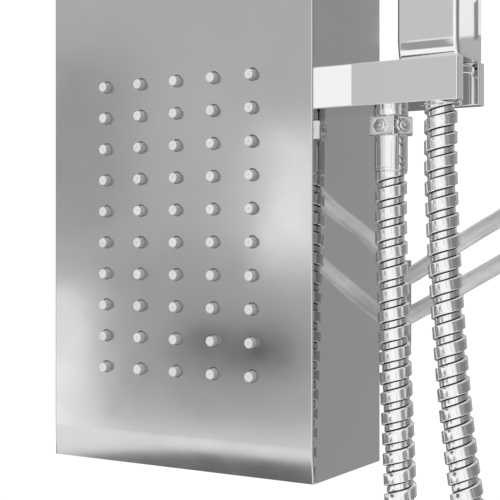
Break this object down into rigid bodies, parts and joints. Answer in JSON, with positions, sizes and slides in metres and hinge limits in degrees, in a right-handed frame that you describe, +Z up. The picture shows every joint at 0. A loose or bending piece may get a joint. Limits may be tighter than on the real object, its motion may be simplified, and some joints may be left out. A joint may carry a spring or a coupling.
{
  "type": "rainfall shower column",
  "caption": "Wall shower column of folded steel with a grid of body jets, a hand shower in a slotted side holder, a spiral hose, mixer and diverter handles and a square rain head.",
  "frame": {"origin": "centre of the four wall-bolt holes, on the wall plane", "axes": "+X to the right seen from the room, +Y into the wall, +Z up along the column"},
  "size_m": [0.3255, 0.57, 1.5772],
  "materials": {
    "satin_steel": "satin-polished stainless sheet",
    "zinc_steel": "zinc plated",
    "silicone": "pale grey silicone",
    "moulded_plastic": "black moulded",
    "white_plastic": "white acetal",
    "brass": "machined",
    "chrome": "bright chrome",
    "chrome_plastic": "chrome-plated plastic",
    "polished_steel": "polished stainless",
    "gasket_rubber": "matt",
    "spiral_hose": "bright spiral",
    "braided_hose": "grey sheath"
  },
  "bodies": {
    "column": {"casing": "satin_steel", "top_cap": "satin_steel", "bottom_cap": "satin_steel", "cap_screws": "zinc_steel", "bracket_upper": "zinc_steel", "bracket_lower": "zinc_steel", "bracket_screws": "zinc_steel", "bracket_nuts": "zinc_steel", "jet_mat": "silicone", "jet_chamber": "moulded_plastic", "chamber_studs": "zinc_steel", "chamber_nuts": "zinc_steel", "mixer_body": "brass", "mixer_cartridge": "white_plastic", "mixer_ring": "brass", "mixer_cover": "chrome", "check_valves": "white_plastic", "diverter_body": "brass", "diverter_cartridge": "white_plastic", "diverter_ring": "brass", "diverter_cover": "chrome", "link_tube": "brass", "jet_feed_tube": "brass", "hand_feed_tube": "brass", "riser_tube": "brass", "tube_nuts": "brass", "holder_base": "chrome", "holder_arm": "chrome", "holder_spigot": "brass", "holder_gasket": "gasket_rubber", "holder_back_nut": "brass", "outlet_stub": "chrome", "shower_hose": "spiral_hose", "supply_hose_hot": "braided_hose", "supply_hose_cold": "braided_hose", "supply_ferrules": "chrome", "hose_clip": "zinc_steel", "arm_elbow": "brass", "arm_ring": "brass", "arm_cover": "chrome", "rain_arm": "chrome", "ball_stem": "chrome"},
    "mixer_hub": {"mixer_hub": "chrome", "lever_pin": "zinc_steel"},
    "mixer_lever": {"mixer_lever": "chrome"},
    "diverter_knob": {"diverter_knob": "chrome"},
    "hand_shower": {"hand_body": "chrome_plastic", "hand_spigot": "brass", "hand_plate": "chrome", "hand_nibs": "silicone", "hand_nut": "chrome"},
    "outlet_swivel": {"outlet_nut": "chrome", "outlet_sleeve": "chrome"},
    "ball_seat": {"ball_seat": "white_plastic"},
    "rain_head": {"head_socket": "chrome", "head_shell": "polished_steel", "head_plate": "polished_steel", "head_mat": "silicone"},
    "hot_union": {"supply_nut_hot": "chrome"},
    "cold_union": {"supply_nut_cold": "chrome"}
  },
  "joints": [
    {"name": "mixer_turn", "type": "hinge", "parent": "column", "child": "mixer_hub", "pos_m": [0, -0.1386, -0.17], "axis": [0, 1, 0], "range_deg": [-45, 45]},
    {"name": "mixer_lift", "type": "hinge", "parent": "mixer_hub", "child": "mixer_lever", "pos_m": [0, -0.1586, -0.17], "axis": [-1, 0, 0], "range_deg": [0, 25]},
    {"name": "diverter_turn", "type": "hinge", "parent": "column", "child": "diverter_knob", "pos_m": [0, -0.1386, -0.04], "axis": [0, 1, 0], "range_deg": [-90, 90]},
    {"name": "hand_lift", "type": "slide", "parent": "column", "child": "hand_shower", "axis": [0, 0, 1], "range_m": [0, 0.035]},
    {"name": "outlet_spin", "type": "hinge", "parent": "column", "child": "outlet_swivel", "pos_m": [0.0965, -0.094, -0.44], "axis": [0, 0, 1], "continuous": true},
    {"name": "head_swivel", "type": "hinge", "parent": "column", "child": "ball_seat", "pos_m": [0, -0.46, 0.459], "axis": [0, 0, 1], "continuous": true},
    {"name": "head_tilt", "type": "hinge", "parent": "ball_seat", "child": "rain_head", "pos_m": [0, -0.46, 0.459], "axis": [1, 0, 0], "range_deg": [-12, 12]},
    {"name": "hot_union_spin", "type": "hinge", "parent": "column", "child": "hot_union", "pos_m": [0.186, -0.016, -0.38], "axis": [0, 0, 1], "continuous": true},
    {"name": "cold_union_spin", "type": "hinge", "parent": "column", "child": "cold_union", "pos_m": [0.15, -0.016, -0.38], "axis": [0, 0, 1], "continuous": true}
  ]
}
